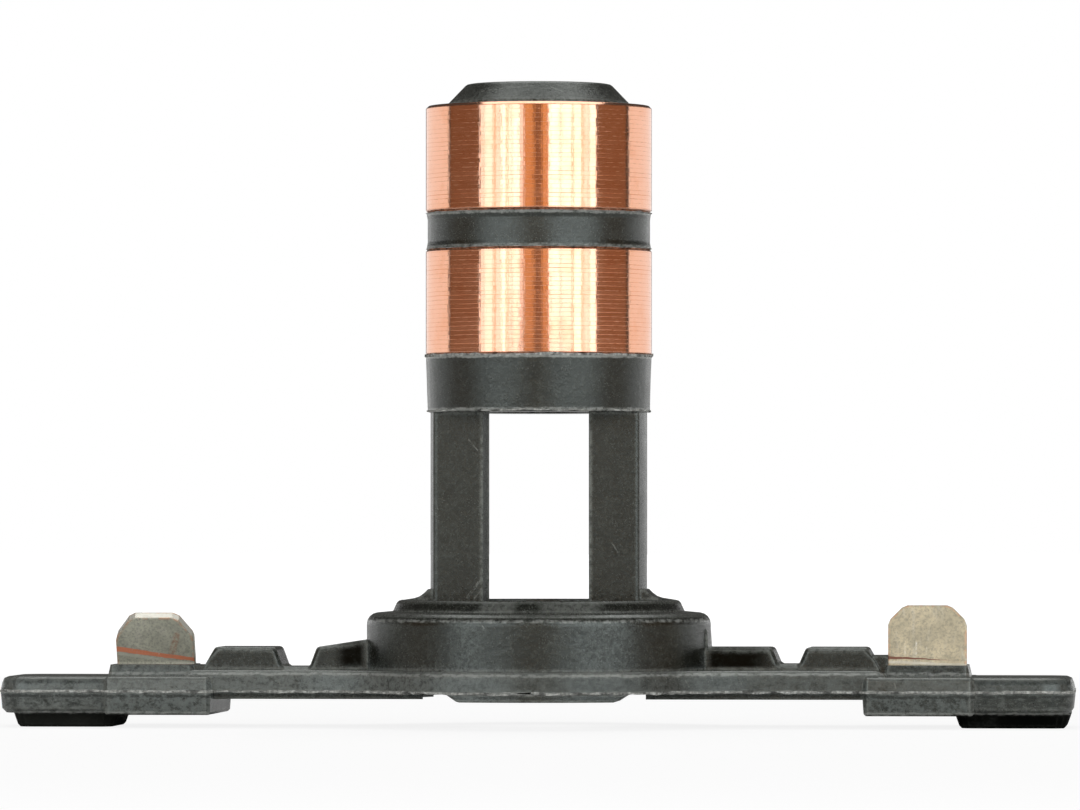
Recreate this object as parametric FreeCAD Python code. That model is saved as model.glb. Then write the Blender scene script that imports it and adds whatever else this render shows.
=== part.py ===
import FreeCAD, Part
import math
import os

from FreeCAD import Vector

# Slip ring unit of a car alternator, in millimetres.
# The origin is on the bore axis, level with the undersides of the feet.
# +Z is up along the bore, +X runs along the arm that carries the lower ring's terminal.

# Straight cuts that stand for a round corner
bevel_flats = 1
small_round_flats = 2
large_round_flats = 4

# Copper rings
ring_radius = 7.75
ring_wall = 1.50
ring_length = 7.35
ring_edge_bevel = 0.18
ring_bevel = 0.45
ring_bevel_length = 0.80
anchor_groove_depth = 0.40
anchor_groove_mouth = 0.90
anchor_groove_floor = 1.30

# Tube that carries the rings
bore_radius = 4.00
bore_lead_in = 0.40
tube_bottom_z = 21.50
lower_collar_height = 3.85
band_height = 2.45
lower_collar_bottom_radius = 7.62
lower_collar_top_radius = 7.74
band_radius = 7.70
band_waist = 0.07
band_flare_height = 0.45
lower_collar_edge_bevel = 0.12
nose_height = 1.50
nose_base_radius = 6.20
nose_top_radius = 4.95
nose_corner_round = 0.35
nose_land = 0.20

# Legs that pass under the bearing
leg_width = 5.00
leg_outer_radius = 7.43
leg_bore_clearance = 0.40
leg_edge_round = 0.30
leg_flare_length = 1.80
leg_flare_height = 0.75
leg_flare_knee_out = 0.55
leg_flare_knee_up = 0.20
leg_flare_round = 1.20

# Stepped round base that the shaft passes through
shaft_seat_radius = 8.50
shaft_hole_clearance = 0.10
step_radius = 10.00
step_top_radius = 9.65
step_top_z = 8.66
step_corner_round = 0.35
collar_radius = 11.80
collar_top_z = 7.74
collar_top_rise = 0.16
collar_corner_round = 0.80

# Plate under the collar, with its two arms
parting_z = 2.45
plate_top_z = 3.90
plate_edge_bevel = 0.32
hub_radius = 12.60
arm_half_width = 5.60
arm_length = 24.20
arm_end_round = 1.10
hub_to_arm_blend = 9.00
keel_half_width = 4.00
keel_bottom_z = 1.92
lug_start = -5.50
lug_end = 6.90
lug_inner_radius = 9.60
lug_inset = 0.15
lug_end_slope = 0.90
lug_bottom_z = 1.86
lug_end_round = 0.40

# Ribs that cover the leads on the arms
rib_half_width = 2.50
rib_edge_bevel = 0.25
rib_top_z = 5.45
rib_end_slope = 0.50
rib_outer_slope = 0.85
rib_corner_round = 0.30
notch_corner_round = 0.20
rib_inner_start = 10.50
web_top_inset = 0.45
web_knee_drop = 0.60
web_knee_inset = 0.10
web_foot_out = 0.10
bridge_half_width = 1.60

# Ends of the arms
block_half_width = 6.40
block_bottom_z = 0.86
block_draft = 0.10
block_edge_bevel = 0.15
block_corner_bevel = 0.35
pad_half_width = 5.60
pad_end = 36.70
pad_bottom_z = 0.97
pad_top_z = 3.45
pad_corner_radius = 2.20
pad_edge_round = 0.45
pad_under_bevel = 0.30
pad_draft = 0.12
foot_half_width = 4.40
foot_inner = 28.60
foot_corner_radius = 1.40
foot_draft = 0.28
foot_edge_bevel = 0.18
saddle_half_width = 2.90
saddle_top_z = 4.24
saddle_draft = 0.30
saddle_end_margin = 0.08
saddle_corner_bevel = 0.40

# Stamped leads
lead_thickness = 0.80
lead_width = 3.00
lead_bend_radius = 0.80
lead_run_z = 3.30
shoe_margin = 0.15
shoe_seat_depth = 0.10
joggle_depth = 0.85
joggle_length = 1.60
joggle_lead = 1.20
terminal_width = 5.35
terminal_foot_length = 3.20
terminal_root_offset = 1.20
terminal_corner = 1.10
terminal_corner_round = 0.55
terminal_bend_radius = 0.50

# The two arms differ a little: distances from the axis, measured along the arm
LEFT = {
    "side": -1,
    "notch_start": 15.55,
    "notch_end": 17.40,
    "notch_floor_z": 4.10,
    "rib_end": 22.90,
    "rib_rise_at_collar": 0.50,
    "bridge_top_z": 4.20,
    "collar_web_top_z": 0.0,
    "block_inner": 21.90,
    "block_outer": 29.30,
    "foot_outer": 35.85,
    "terminal_centre": 26.45,
    "terminal_length": 4.85,
    "terminal_corner_drop": 1.55,
    "terminal_lean": 28.0,
}
RIGHT = {
    "side": 1,
    "notch_start": 16.60,
    "notch_end": 17.95,
    "notch_floor_z": 4.30,
    "rib_end": 23.45,
    "rib_rise_at_collar": 0.0,
    "bridge_top_z": 4.90,
    "collar_web_top_z": 7.15,
    "block_inner": 22.40,
    "block_outer": 30.05,
    "foot_outer": 36.45,
    "terminal_centre": 26.67,
    "terminal_length": 5.00,
    "terminal_corner_drop": 1.10,
    "terminal_lean": 5.0,
}

# Places that follow from the sizes above
lower_ring_z = tube_bottom_z + lower_collar_height
band_z = lower_ring_z + ring_length
upper_ring_z = band_z + band_height
nose_z = upper_ring_z + ring_length
top_z = nose_z + nose_height
ring_bore_radius = ring_radius - ring_wall
leg_inner_radius = bore_radius + leg_bore_clearance
shaft_hole_radius = shaft_seat_radius + shaft_hole_clearance
lead_face_x = ring_bore_radius + shoe_seat_depth - lead_thickness / 2
overlap = 0.50
smallest_corner = 0.10
tolerance = 1e-4
half_round = 1 - math.cos(math.radians(45))

ALONG_X = Vector(1, 0, 0)
ACROSS_XZ = Vector(0, 1, 0)
UP = Vector(0, 0, 1)


def in_xz(u, v):
    """Point of a side view: u along X, v along Z."""
    return Vector(u, 0, v)


def in_yz(u, v):
    """Point of an end view: u along Y, v along Z."""
    return Vector(0, u, v)


def in_xy(u, v):
    """Point of a plan view."""
    return Vector(u, v, 0)


def outline(corners, place):
    """Closed wire through corners (u, v), (u, v, radius) or (u, v, radius, flats).

    A radius turns the corner by a tangent arc. With flats, that many straight cuts stand for the arc.
    """
    points = [Vector(c[0], c[1], 0) for c in corners]
    count = len(points)
    stretches = []
    for i in range(count):
        here = points[i]
        radius = corners[i][2] if len(corners[i]) > 2 else 0.0
        flats = corners[i][3] if len(corners[i]) > 3 else 0
        if radius <= 0:
            stretches.append(([here], False))
            continue
        back = (points[i - 1] - here).normalize()
        ahead = (points[(i + 1) % count] - here).normalize()
        half = back.getAngle(ahead) / 2
        middle = (back + ahead).normalize()
        centre = here + middle * (radius / math.sin(half))
        sweep = math.pi - 2 * half
        first = here + back * (radius / math.tan(half)) - centre
        turn = 1 if back.x * ahead.y - back.y * ahead.x < 0 else -1
        steps = flats if flats else 2
        bend = []
        for step in range(steps + 1):
            angle = turn * sweep * step / steps
            cosine = math.cos(angle)
            sine = math.sin(angle)
            along = first.x * cosine - first.y * sine
            up = first.x * sine + first.y * cosine
            bend.append(centre + Vector(along, up, 0))
        stretches.append((bend, flats == 0))
    edges = []
    for i in range(count):
        bend, is_arc = stretches[i]
        if is_arc:
            edges.append(Part.Arc(*[place(p.x, p.y) for p in bend]).toShape())
        else:
            for start, end in zip(bend, bend[1:]):
                edges.append(Part.makeLine(place(start.x, start.y), place(end.x, end.y)))
        start = bend[-1]
        end = stretches[(i + 1) % count][0][0]
        if (end - start).Length > tolerance:
            edges.append(Part.makeLine(place(start.x, start.y), place(end.x, end.y)))
    return Part.Wire(edges)


def extruded(corners, place, direction, start, end):
    """Prism of an outline between two places along a direction."""
    face = Part.Face(outline(corners, place))
    face.translate(direction * start)
    return face.extrude(direction * (end - start))


def revolved(corners):
    """Solid of revolution about Z of an outline given as radius and height."""
    face = Part.Face(outline(corners, in_xz))
    return face.revolve(Vector(0, 0, 0), UP, 360)


def cylinder(radius, low_z, high_z):
    return Part.makeCylinder(radius, high_z - low_z, Vector(0, 0, low_z))


def slab(x_range, y_range, z_range):
    low = Vector(min(x_range), min(y_range), min(z_range))
    high = Vector(max(x_range), max(y_range), max(z_range))
    size = high - low
    return Part.makeBox(size.x, size.y, size.z, low)


def stepped_slab(x_range, half_width, levels, corner, flats=0):
    """Slab with turned plan corners, lofted through outlines at levels of (height, inset)."""
    wires = []
    for level, inset in levels:
        low = min(x_range) + inset
        high = max(x_range) - inset
        side = half_width - inset
        turn = max(corner - inset, smallest_corner)
        plan = [(low, -side), (high, -side), (high, side), (low, side)]
        wire = outline([point + (turn, flats) for point in plan], in_xy)
        wire.translate(UP * level)
        wires.append(wire)
    return Part.makeLoft(wires, True, True)


def bevelled(start_z, end_z, draft, bevel):
    """Levels of a drafted slab with a bevelled far edge."""
    way = 1 if end_z > start_z else -1
    return [(start_z, 0.0), (end_z - way * bevel, draft), (end_z, draft + bevel)]


def rounded(start_z, end_z, draft, radius):
    """Levels of a drafted slab whose far edge is turned by two flats."""
    way = 1 if end_z > start_z else -1
    middle = radius * half_round
    return [
        (start_z, 0.0),
        (end_z - way * radius, draft),
        (end_z - way * middle, draft + middle),
        (end_z, draft + radius),
    ]


def edges_at_height(shape, level):
    """Edges that lie wholly at one height."""
    found = []
    for edge in shape.Edges:
        box = edge.BoundBox
        if abs(box.ZMin - level) < tolerance and abs(box.ZMax - level) < tolerance:
            found.append(edge)
    return found


def strip_outline(path, thickness):
    """Outline of a bent strip: path of (u, v, inside bend radius) along its middle."""
    points = [Vector(p[0], p[1], 0) for p in path]
    sides = ([], [])
    for i, here in enumerate(points):
        before = (here - points[i - 1]).normalize() if i > 0 else None
        after = (points[i + 1] - here).normalize() if i < len(points) - 1 else None
        first = before or after
        last = after or before
        middle = Vector(-first.y - last.y, first.x + last.x, 0).normalize()
        reach = thickness / 2 / (middle.x * -last.y + middle.y * last.x)
        turn = first.x * last.y - first.y * last.x
        for side, sign in zip(sides, (1, -1)):
            corner = here + middle * (reach * sign)
            if abs(turn) < tolerance:
                side.append((corner.x, corner.y))
            elif turn * sign > 0:
                side.append((corner.x, corner.y, path[i][2]))
            else:
                side.append((corner.x, corner.y, path[i][2] + thickness))
    return sides[0] + sides[1][::-1]


def slip_ring(bottom_z):
    """Copper ring: plain outside, bevelled ends and a dovetail anchor groove inside."""
    top = bottom_z + ring_length
    middle = bottom_z + ring_length / 2
    inner = ring_bore_radius
    return revolved([
        (inner + ring_bevel, bottom_z),
        (ring_radius - ring_edge_bevel, bottom_z),
        (ring_radius, bottom_z + ring_edge_bevel),
        (ring_radius, top - ring_edge_bevel),
        (ring_radius - ring_edge_bevel, top),
        (inner + ring_bevel, top),
        (inner, top - ring_bevel_length),
        (inner, middle + anchor_groove_mouth / 2),
        (inner + anchor_groove_depth, middle + anchor_groove_floor / 2),
        (inner + anchor_groove_depth, middle - anchor_groove_floor / 2),
        (inner, middle - anchor_groove_mouth / 2),
        (inner, bottom_z + ring_bevel_length),
    ])


def ring_envelope(bottom_z):
    """Room that a ring takes outside its bore."""
    outside = cylinder(ring_radius + overlap, bottom_z, bottom_z + ring_length)
    envelope = outside.cut(cylinder(ring_bore_radius, bottom_z, bottom_z + ring_length))
    # A quarter turn takes the start of the round faces away from both leads.
    envelope.rotate(Vector(0, 0, 0), UP, 90)
    return envelope


def terminal(arm):
    """Foot and upright tab of a lead, bent up from the strip and cropped at its corners."""
    side = arm["side"]
    root = -side * terminal_root_offset
    lean = math.radians(arm["terminal_lean"])
    tip_y = root + side * arm["terminal_length"] * math.sin(lean)
    tip_z = lead_run_z + arm["terminal_length"] * math.cos(lean)
    path = [
        (root + side * terminal_foot_length, lead_run_z, 0.0),
        (root, lead_run_z, terminal_bend_radius),
        (tip_y, tip_z, 0.0),
    ]
    half = terminal_width / 2
    centre = side * arm["terminal_centre"]
    start = centre - half
    bent = strip_outline(path, lead_thickness)
    tab = extruded(bent, in_yz, ALONG_X, start, start + terminal_width)
    reach = arm["terminal_length"] * 2
    shoulder = half - terminal_corner
    drop = arm["terminal_corner_drop"]
    soft = (terminal_corner_round, bevel_flats)
    shape = [
        (-half, -reach),
        (half, -reach),
        (half, -drop) + soft,
        (shoulder, 0.0) + soft,
        (-shoulder, 0.0) + soft,
        (-half, -drop) + soft,
    ]
    kept = extruded(shape, in_xz, ACROSS_XZ, -reach, reach)
    kept.rotate(Vector(0, 0, 0), ALONG_X, -side * arm["terminal_lean"])
    kept.translate(Vector(centre, tip_y, tip_z))
    return tab.common(kept)


def lead(arm, bottom_z, passes_under):
    """Stamped lead: shoe coined to its ring's bore, run down the leg, run along the arm, terminal."""
    side = arm["side"]
    top = bottom_z + ring_length / 2 - anchor_groove_mouth / 2 - shoe_margin
    face = lead_face_x
    path = [(arm["terminal_centre"], lead_run_z, 0.0), (face, lead_run_z, lead_bend_radius)]
    if passes_under is not None:
        below = passes_under - joggle_lead
        above = passes_under + ring_length + joggle_lead / 2
        path.append((face, below - joggle_length, lead_bend_radius))
        path.append((face - joggle_depth, below, lead_bend_radius))
        path.append((face - joggle_depth, above, lead_bend_radius))
        path.append((face, above + joggle_length, lead_bend_radius))
    path.append((face, top, 0.0))
    corners = [(side * c[0],) + tuple(c[1:]) for c in strip_outline(path, lead_thickness)]
    strip = extruded(corners, in_xz, ACROSS_XZ, -lead_width / 2, lead_width / 2)
    whole = strip.fuse(terminal(arm)).removeSplitter()
    return whole.cut(ring_envelope(bottom_z))


def tube():
    """Nose, band and lower collar: the bored tube, with room left for the rings and what fills them."""
    inner = bore_radius
    band_top_z = band_z + band_height
    return revolved([
        (inner + bore_lead_in, tube_bottom_z),
        (lower_collar_bottom_radius, tube_bottom_z, lower_collar_edge_bevel, bevel_flats),
        (lower_collar_top_radius, lower_ring_z),
        (ring_bore_radius, lower_ring_z),
        (ring_bore_radius, band_z),
        (band_radius, band_z),
        (band_radius - band_waist, band_z + band_flare_height),
        (band_radius - band_waist, band_top_z - band_flare_height),
        (band_radius, band_top_z),
        (ring_bore_radius, band_top_z),
        (ring_bore_radius, nose_z),
        (nose_base_radius, nose_z),
        (nose_base_radius, nose_z + nose_land),
        (nose_top_radius, top_z, nose_corner_round, small_round_flats),
        (inner, top_z),
        (inner, tube_bottom_z + bore_lead_in),
    ])


def ring_bed(bottom_z):
    """Plastic that fills a ring's bevels and anchor grooves."""
    bed = cylinder(ring_radius - ring_edge_bevel, bottom_z, bottom_z + ring_length)
    return bed.cut(cylinder(bore_radius, bottom_z, bottom_z + ring_length)).cut(slip_ring(bottom_z))


def legs():
    """Two legs that stand in the shaft's grooves, with a flared foot on the step."""
    shape = None
    half = leg_width / 2
    sector = cylinder(leg_outer_radius, parting_z, tube_bottom_z + overlap)
    sector = sector.cut(cylinder(leg_inner_radius, parting_z, tube_bottom_z + overlap))
    for side in (-1, 1):
        reach = slab((0, side * ring_radius), (-half, half), (parting_z, tube_bottom_z + overlap))
        leg = sector.common(reach)
        upright = [e for e in leg.Edges if e.BoundBox.ZLength > tube_bottom_z / 2]
        outside = [e for e in upright if abs(e.CenterOfMass.x) > (leg_inner_radius + leg_outer_radius) / 2]
        leg = leg.makeFillet(leg_edge_round, outside)
        inside = leg_outer_radius - overlap
        outer = leg_outer_radius + leg_flare_length
        knee = leg_outer_radius + leg_flare_knee_out
        knee_z = step_top_z + leg_flare_knee_up
        flare = [
            (side * inside, step_top_z - overlap),
            (side * outer, step_top_z - overlap),
            (side * outer, step_top_z),
            (side * knee, knee_z, leg_flare_round, small_round_flats),
            (side * leg_outer_radius, step_top_z + leg_flare_height),
            (side * inside, step_top_z + leg_flare_height),
        ]
        flare_half = half - leg_edge_round
        leg = leg.fuse(extruded(flare, in_xz, ACROSS_XZ, -flare_half, flare_half))
        shape = leg if shape is None else shape.fuse(leg)
    return shape


def base():
    """Stepped round base above the plate."""
    return revolved([
        (0.0, parting_z),
        (collar_radius, parting_z),
        (collar_radius, collar_top_z, collar_corner_round, large_round_flats),
        (step_radius, collar_top_z + collar_top_rise),
        (step_top_radius, step_top_z, step_corner_round, small_round_flats),
        (0.0, step_top_z),
    ])


def plate():
    """Hub and arms above the parting line, as one plan outline with blended corners."""
    hub = cylinder(hub_radius, parting_z, plate_top_z)
    half = arm_half_width
    arms = slab((-arm_length, arm_length), (-half, half), (parting_z, plate_top_z))
    ends = [e for e in edges_at_height(arms, plate_top_z) if e.BoundBox.XLength < tolerance]
    arms = arms.makeFillet(arm_end_round, ends)
    shape = hub.fuse(arms).removeSplitter()
    corners = []
    for edge in shape.Edges:
        box = edge.BoundBox
        upright = box.XLength < tolerance and box.YLength < tolerance
        if upright and abs(abs(box.YMin) - half) < tolerance and abs(box.XMin) < hub_radius:
            corners.append(edge)
    shape = shape.makeFillet(hub_to_arm_blend, corners)
    return shape.makeChamfer(plate_edge_bevel, edges_at_height(shape, plate_top_z))


def keels_and_lugs():
    """Low ribs under the arms and the two curved lugs under the front and back of the hub."""
    half = keel_half_width
    keel = slab((-arm_length, arm_length), (-half, half), (keel_bottom_z, parting_z))
    slope = lug_end_slope
    profile = [
        (lug_start, parting_z),
        (lug_start + slope, lug_bottom_z, lug_end_round, bevel_flats),
        (lug_end - slope, lug_bottom_z, lug_end_round, bevel_flats),
        (lug_end, parting_z),
    ]
    front = extruded(profile, in_xz, ACROSS_XZ, -hub_radius, 0)
    back = front.copy()
    back.rotate(Vector(0, 0, 0), UP, 180)
    outside = cylinder(hub_radius - lug_inset, lug_bottom_z - overlap, parting_z)
    ring = outside.cut(cylinder(lug_inner_radius, lug_bottom_z - overlap, parting_z))
    return keel.fuse([front.common(ring), back.common(ring)])


def ribs(arm):
    """Rib that covers the lead along one arm, with a notch that parts it in two."""
    side = arm["side"]
    low = plate_top_z - overlap
    slope = rib_end_slope
    floor = arm["notch_floor_z"]
    top_at_collar = rib_top_z + arm["rib_rise_at_collar"]
    profile = [
        (rib_inner_start, low),
        (rib_inner_start, top_at_collar),
        (collar_radius, top_at_collar),
        (arm["notch_start"] - slope, rib_top_z, rib_corner_round, small_round_flats),
        (arm["notch_start"], floor, notch_corner_round, bevel_flats),
        (arm["notch_end"], floor, notch_corner_round, bevel_flats),
        (arm["notch_end"] + slope, rib_top_z, rib_corner_round, small_round_flats),
        (arm["rib_end"] - rib_outer_slope, rib_top_z, rib_corner_round, small_round_flats),
        (arm["rib_end"], plate_top_z),
        (arm["rib_end"], low),
    ]
    corners = [(side * c[0],) + tuple(c[1:]) for c in profile]
    half = rib_half_width
    shape = extruded(corners, in_xz, ACROSS_XZ, -half, half)
    tops = []
    for edge in shape.Edges:
        box = edge.BoundBox
        on_side = box.YLength < tolerance and box.ZMin > plate_top_z + tolerance
        if on_side and abs(edge.CenterOfMass.x) > collar_radius:
            tops.append(edge)
    shape = shape.makeChamfer(rib_edge_bevel, tops)
    if arm["collar_web_top_z"] > 0:
        web_top = arm["collar_web_top_z"]
        web = [
            (side * rib_inner_start, low),
            (side * rib_inner_start, web_top),
            (side * (collar_radius - web_top_inset), web_top),
            (side * (collar_radius - web_knee_inset), web_top - web_knee_drop),
            (side * (collar_radius + web_foot_out), low),
        ]
        web_half = half - rib_edge_bevel
        shape = shape.fuse(extruded(web, in_xz, ACROSS_XZ, -web_half, web_half))
    tab_edge = side * (arm["terminal_centre"] - terminal_width / 2)
    bridge_range = (side * (arm["rib_end"] - rib_outer_slope), tab_edge)
    half = bridge_half_width
    bridge = slab(bridge_range, (-half, half), (low, arm["bridge_top_z"]))
    return shape.fuse(bridge)


def arm_end(arm):
    """Block under the terminal, saddle round it, outer pad and the foot below the pad."""
    side = arm["side"]
    inner = side * arm["block_inner"]
    outer = side * arm["block_outer"]
    pieces = []
    for edge_z in (pad_top_z, block_bottom_z):
        levels = bevelled(parting_z, edge_z, block_draft, block_edge_bevel)
        block = stepped_slab((inner, outer), block_half_width, levels, block_corner_bevel, bevel_flats)
        pieces.append(block)
    pad_range = (side * (arm["block_outer"] - pad_corner_radius - overlap), side * pad_end)
    upper_levels = rounded(parting_z, pad_top_z, pad_draft, pad_edge_round)
    lower_levels = bevelled(parting_z, pad_bottom_z, pad_draft, pad_under_bevel)
    for levels in (upper_levels, lower_levels):
        pieces.append(stepped_slab(pad_range, pad_half_width, levels, pad_corner_radius))
    foot_range = (side * foot_inner, side * arm["foot_outer"])
    levels = bevelled(pad_bottom_z, 0.0, foot_draft, foot_edge_bevel)
    foot = stepped_slab(foot_range, foot_half_width, levels, foot_corner_radius, large_round_flats)
    pieces.append(foot)
    # The foot runs up into the pad, whose underside it would otherwise only touch.
    pieces.append(slab(foot_range, (-foot_half_width / 2, foot_half_width / 2), (pad_bottom_z, parting_z)))
    half = terminal_width / 2 + saddle_end_margin + saddle_draft
    centre = side * arm["terminal_centre"]
    saddle_range = (centre - half, centre + half)
    levels = [(pad_top_z - overlap, 0.0), (saddle_top_z, saddle_draft)]
    saddle_base = saddle_half_width + saddle_draft
    saddle = stepped_slab(saddle_range, saddle_base, levels, saddle_corner_bevel, bevel_flats)
    pieces.append(saddle)
    return pieces[0].fuse(pieces[1:])


def shaft_passage():
    """Room for the shaft through the base, with the two keys that carry the legs left standing."""
    high = step_top_z + overlap
    low = lug_bottom_z - overlap
    half = leg_width / 2
    around = cylinder(shaft_hole_radius, low, high)
    around = around.cut(slab((-step_radius, step_radius), (-half, half), (low, high)))
    between = cylinder(leg_inner_radius, low, high)
    under = cylinder(shaft_hole_radius, low, parting_z)
    return around.fuse([between, under])


def moulded_body(inserts):
    """The whole moulding, with its inserts' room cut out of it."""
    pieces = [ring_bed(lower_ring_z), ring_bed(upper_ring_z), legs(), base(), plate(), keels_and_lugs()]
    for arm in (LEFT, RIGHT):
        pieces.append(ribs(arm))
        pieces.append(arm_end(arm))
    whole = tube().fuse(pieces)
    whole = whole.cut(shaft_passage())
    for insert in inserts:
        whole = whole.cut(insert)
    return whole.removeSplitter()


def save(shape, name):
    solids = shape.Solids
    shape = solids[0] if len(solids) == 1 else shape
    print(name, "solids", len(solids), "valid", shape.isValid(), "volume", round(shape.Volume, 2))
    shape.exportStep(os.path.join("parts", name + ".step"))


os.makedirs("parts", exist_ok=True)

lower_ring = slip_ring(lower_ring_z)
upper_ring = slip_ring(upper_ring_z)
upper_lead = lead(LEFT, upper_ring_z, lower_ring_z)
lower_lead = lead(RIGHT, lower_ring_z, None)
body = moulded_body([lower_ring, upper_ring, upper_lead, lower_lead])

save(lower_ring, "lower_slip_ring")
save(upper_ring, "upper_slip_ring")
save(upper_lead, "upper_ring_lead")
save(lower_lead, "lower_ring_lead")
save(body, "moulded_body")
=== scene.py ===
import math

import bmesh
import bpy
import numpy as np
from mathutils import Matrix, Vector, noise


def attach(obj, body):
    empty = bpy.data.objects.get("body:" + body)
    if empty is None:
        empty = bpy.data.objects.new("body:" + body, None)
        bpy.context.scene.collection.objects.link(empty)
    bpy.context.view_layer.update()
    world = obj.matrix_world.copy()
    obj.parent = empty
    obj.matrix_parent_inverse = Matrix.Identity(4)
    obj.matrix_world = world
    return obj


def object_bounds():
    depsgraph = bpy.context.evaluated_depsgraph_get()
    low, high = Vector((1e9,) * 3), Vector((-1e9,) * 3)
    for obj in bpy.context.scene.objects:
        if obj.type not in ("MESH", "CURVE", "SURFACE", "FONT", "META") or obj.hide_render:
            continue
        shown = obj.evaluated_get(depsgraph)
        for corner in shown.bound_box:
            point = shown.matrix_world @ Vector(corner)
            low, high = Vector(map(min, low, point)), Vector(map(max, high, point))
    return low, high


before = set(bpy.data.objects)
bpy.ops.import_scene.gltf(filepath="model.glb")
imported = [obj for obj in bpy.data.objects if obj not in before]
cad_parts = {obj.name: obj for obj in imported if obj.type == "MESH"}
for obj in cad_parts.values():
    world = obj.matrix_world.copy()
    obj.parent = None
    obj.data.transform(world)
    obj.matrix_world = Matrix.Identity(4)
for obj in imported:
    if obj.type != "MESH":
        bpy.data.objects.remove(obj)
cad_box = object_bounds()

MM = 0.001

# Heights and radii that the moulding and the rings have in the part's source, in millimetres
PARTING_Z = 2.45
TUBE_BOTTOM_Z = 21.50
LOWER_RING_Z = 25.35
BAND_Z = 32.70
UPPER_RING_Z = 35.15
RING_RADIUS = 7.75
COLLAR_BOTTOM_RADIUS = 7.62

# Colours of the moulding, from its own black to its dust and wear, and its painted shade and highlights
MOULDING = {
    "black": (0.0030, 0.0031, 0.0010),
    "weathered": (0.0100, 0.0104, 0.0062),
    "clouds": (0.020, 0.0213, 0.0150),
    "dusted": (0.088, 0.094, 0.079),
    "arm_rubs": (0.172, 0.185, 0.170),
    "specks": (0.20, 0.205, 0.185),
    "bloom": (0.135, 0.152, 0.143),
    "plate_dust": (0.250, 0.270, 0.255),
    # Dust on the blocks, and the painted highlights on the round collar
    "blocks": (0.150, 0.170, 0.160),
    "step_rim": (0.205, 0.215, 0.195),
    "grime": (0.0075, 0.0048, 0.0020),
    # The two colours of the feet are painted shade under the end pads
    "shaded_feet": (0.0020, 0.0021, 0.0016),
    "left_foot_shade": (0.0260, 0.0270, 0.0230),
    "top_dust": (0.125, 0.131, 0.117),
    # Worn pale edges, partly painted highlights along the rounds
    "edges": (0.235, 0.245, 0.220),
    # Scraped marks, and one painted highlight on the round collar
    "scrapes_and_highlights": (0.21, 0.215, 0.195),
    "parting_shade": (0.003, 0.003, 0.002),
    # Pale lines, partly painted highlights along the edges
    "trimmed_and_highlights": (0.44, 0.45, 0.42),
}

# Stretches of the moulding's wear and painted highlights, in millimetres: where each starts, is full, starts
# to fade and ends.
# A span is the distance from the middle, towards either arm
BAND_SPECKS_Z = (32.4, 32.9, 34.9, 35.4)
BLOOM_Z = (1.9, 2.3, 3.0, 4.6)
LESS_BLOOM_X = (-5.0, 4.0, 12.5, 15.5)
BLOCKS_SPAN = (21.7, 22.5, 29.3, 30.2)
BLOCKS_Z = (0.85, 1.05, 2.1, 2.35)
# The two stretches on the round collar are painted highlights
COLLAR_HIGHLIGHTS_X = ((-5.6, -4.2, -3.6, -2.4), (2.6, 4.4, 6.2, 7.8))
COLLAR_HIGHLIGHTS_Z = (3.9, 4.3, 7.0, 7.6)
STEP_RIM_X = ((-3.6, -2.8, -1.2, -0.5), (0.5, 1.4, 4.2, 5.4))
STEP_RIM_Z = (7.75, 7.95, 8.45, 8.70)
GRIME_X = (-14.2, -12.8, 14.5, 17.0)

# Scrapes on the front of the moulding, and one painted highlight: start and end as (x, z), and half the width
SCRAPES_AND_HIGHLIGHTS = (
    ((-4.70, 8.85), (-3.55, 10.40), 0.13),
    ((-4.25, 8.80), (-3.60, 9.60), 0.10),
    ((-10.75, 3.45), (-10.40, 2.95), 0.07),
    ((10.55, 3.25), (10.75, 2.85), 0.06),
    ((14.05, 3.45), (14.25, 3.00), 0.05),
    ((-3.05, 7.20), (-2.80, 6.85), 0.07),
    ((24.60, 3.10), (24.75, 2.60), 0.06),
    ((-17.40, 3.30), (-17.20, 2.90), 0.06),
    # A painted highlight up the right edge of the round collar
    ((11.42, 4.10), (11.46, 7.10), 0.07),
    ((-6.90, 23.90), (-6.70, 22.80), 0.06),
    ((-3.60, 43.35), (0.10, 43.70), 0.04),
    ((0.60, 43.80), (2.10, 43.25), 0.04),
    ((-4.60, 19.60), (-4.00, 18.90), 0.06),
    ((5.20, 12.60), (5.60, 11.90), 0.06),
)

# Pale lines round the moulding, worn and partly painted highlights: height, half the width, cover from none
# at 1 to all at 0, and strength
PALE_LINES = (
    (PARTING_Z, 0.13, 0.34, 1.0),
    (1.00, 0.13, 0.46, 0.60),
    (3.66, 0.13, 0.44, 0.70),
    # The line along the top of the round collar is a painted highlight
    (7.30, 0.15, 0.50, 0.65),
    (TUBE_BOTTOM_Z + 0.16, 0.16, 0.46, 0.75),
    (LOWER_RING_Z - 0.08, 0.16, 0.36, 0.85),
    (BAND_Z + 0.10, 0.13, 0.50, 0.55),
    (UPPER_RING_Z - 0.08, 0.15, 0.44, 0.65),
)
LINE_WANDER = 0.34
PARTING_SHADE_DROP = 0.30

# Gloss of the moulding
MOULDING_IOR = 1.75
MOULDING_TINT = (0.92, 1.0, 0.95, 1.0)

# Heights of the bumps in the moulding, its flash and the leads, in millimetres
GRAIN_HEIGHT = 0.020
PITS_HEIGHT = 0.007
BLOTCHES_HEIGHT = 0.026
FLASH_HEIGHT = 0.05
TIN_WAVES = 0.11

# Radii within which edges look rounded and worn, or carry painted highlights and shade, in millimetres
MOULDING_ROUND = 0.16
MOULDING_WORN = 0.42
COPPER_ROUND = 0.10
LEAD_ROUND = 0.12
LEAD_CUT_RIM = 0.24
LEAD_BARE = 0.34

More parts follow.
